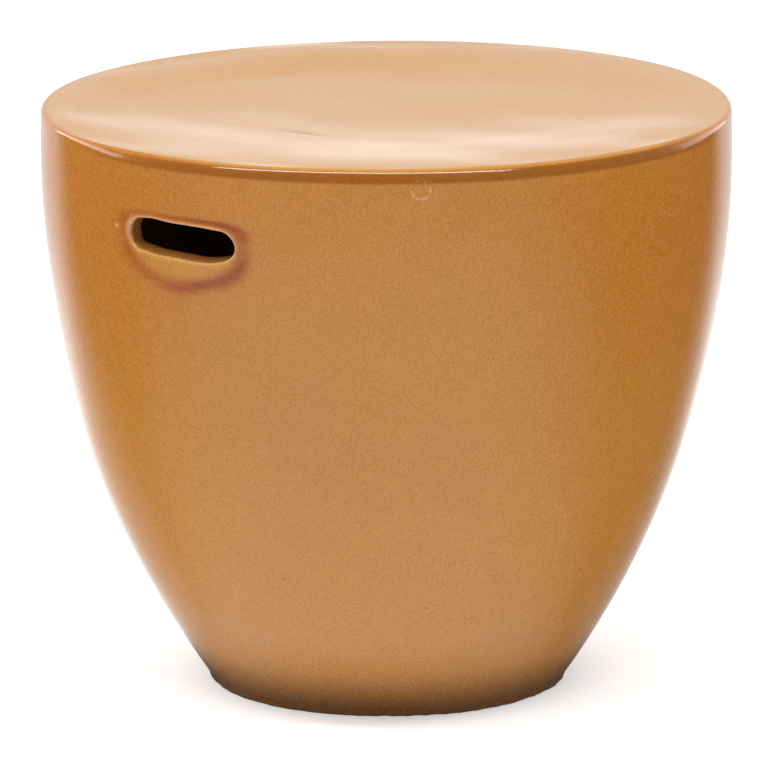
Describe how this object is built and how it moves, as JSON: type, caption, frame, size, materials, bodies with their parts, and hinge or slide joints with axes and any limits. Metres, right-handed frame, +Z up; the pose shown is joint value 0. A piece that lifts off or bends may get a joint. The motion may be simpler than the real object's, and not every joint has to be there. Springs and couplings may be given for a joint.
{
  "type": "garden stool",
  "caption": "Round glazed ceramic garden stool with a tapered hollow body, a slightly dished flat seat, opposite hand slots and a small foot.",
  "frame": {"origin": "centre of the stool's footprint, on the floor that its pads stand on", "axes": "+Z up the stool's axis, from the floor to the seat; the two hand slots face -X and +X"},
  "size_m": [0.508, 0.508, 0.432],
  "materials": {
    "glaze": "glossy honey-amber glaze over fine-grained clay",
    "bare_clay": "unglazed fired clay, matt and slightly gritty",
    "pad_rubber": "matt soft rubber"
  },
  "bodies": {
    "root": {"side_wall": "glaze", "seat_slab": "glaze", "base_floor": "glaze", "foot_ring": "glaze", "seat_joint_coil": "bare_clay", "base_joint_coil": "bare_clay", "floor_pad_1": "pad_rubber", "floor_pad_2": "pad_rubber", "floor_pad_3": "pad_rubber", "floor_pad_4": "pad_rubber"}
  },
  "joints": []
}
